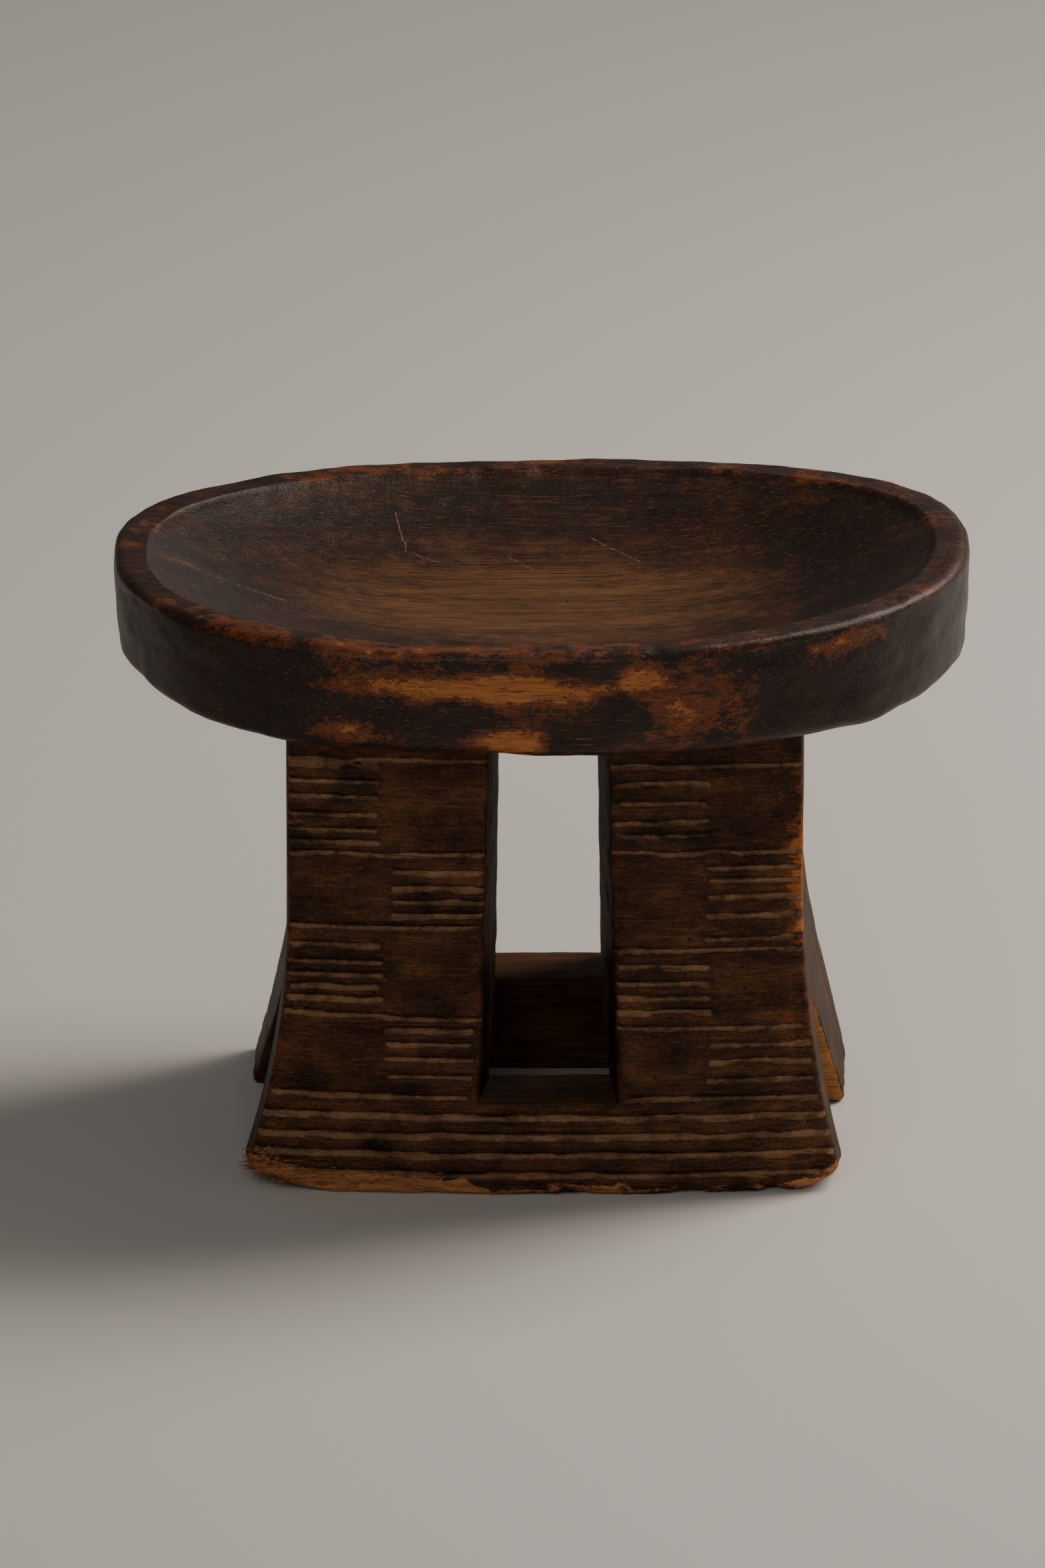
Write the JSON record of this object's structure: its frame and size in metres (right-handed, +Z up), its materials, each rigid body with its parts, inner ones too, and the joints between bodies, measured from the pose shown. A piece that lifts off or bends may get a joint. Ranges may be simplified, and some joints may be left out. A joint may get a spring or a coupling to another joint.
{
  "type": "carved wooden headrest",
  "caption": "Low carved wooden headrest or stool: an oval dish on a flared, pierced stand with incised line patterns.",
  "frame": {"origin": "on the floor, under the middle of the dish", "axes": "+X along the dish towards its right-hand end seen from the front, +Y towards the back, +Z up"},
  "size_m": [0.328, 0.237, 0.236],
  "materials": {
    "dish_wood": "hand-carved hardwood, dark brown patina polished by use, worn to warm tan along the rim",
    "stand_wood": "hand-carved hardwood, blackened brown, with paler incised lines",
    "foot_wood": "hand-carved hardwood, dark brown, worn to raw tan wood at the floor edge"
  },
  "bodies": {
    "root": {"dish": "dish_wood", "left_post": "stand_wood", "right_post": "stand_wood", "front_sill": "foot_wood", "front_left_foot": "foot_wood", "front_right_foot": "foot_wood", "back_sill": "foot_wood", "back_left_foot": "foot_wood", "back_right_foot": "foot_wood"}
  },
  "joints": []
}
